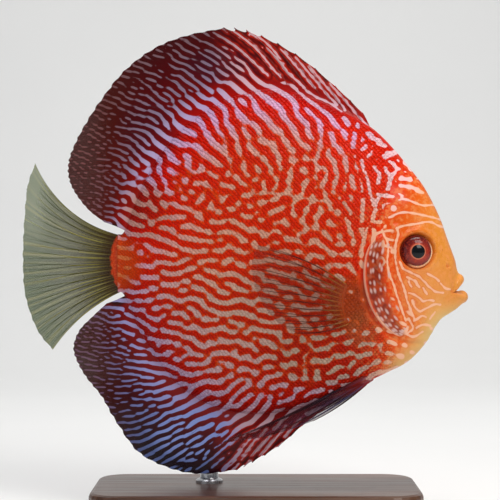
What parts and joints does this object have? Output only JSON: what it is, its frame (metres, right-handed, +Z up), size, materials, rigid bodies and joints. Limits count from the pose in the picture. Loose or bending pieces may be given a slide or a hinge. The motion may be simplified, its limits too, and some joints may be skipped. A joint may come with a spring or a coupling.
{
  "type": "discus fish model on a stand",
  "caption": "Life-size still model of an adult discus fish with a red maze pattern, fins spread, held by a rod on a flat base.",
  "frame": {"origin": "middle of the base's underside, below the middle of the fish's length", "axes": "+X from the tail towards the mouth, +Y out of the fish's left flank, +Z up; the base rests on Z = 0"},
  "size_m": [0.1704, 0.064, 0.1846],
  "materials": {
    "skin": "satin wet skin under scales",
    "face": "satin wet skin",
    "fin": "satin membrane on rays",
    "clear_fin": "thin clear membrane on rays",
    "eye": "glossy",
    "stand_wood": "satin lacquer",
    "stand_steel": "brushed"
  },
  "bodies": {
    "root": {"trunk": "skin", "tail_stalk": "skin", "head": "face", "gill_cover_right": "face", "gill_cover_left": "face", "eye_right": "eye", "eye_left": "eye", "dorsal_fin_spines": "fin", "dorsal_fin_rays": "fin", "anal_fin_spines": "fin", "anal_fin_rays": "fin", "pelvic_fin_right": "fin", "pelvic_fin_left": "fin", "caudal_fin": "clear_fin", "pectoral_fin_right": "clear_fin", "pectoral_fin_left": "clear_fin", "stand_base": "stand_wood", "stand_rod": "stand_steel"}
  },
  "joints": []
}
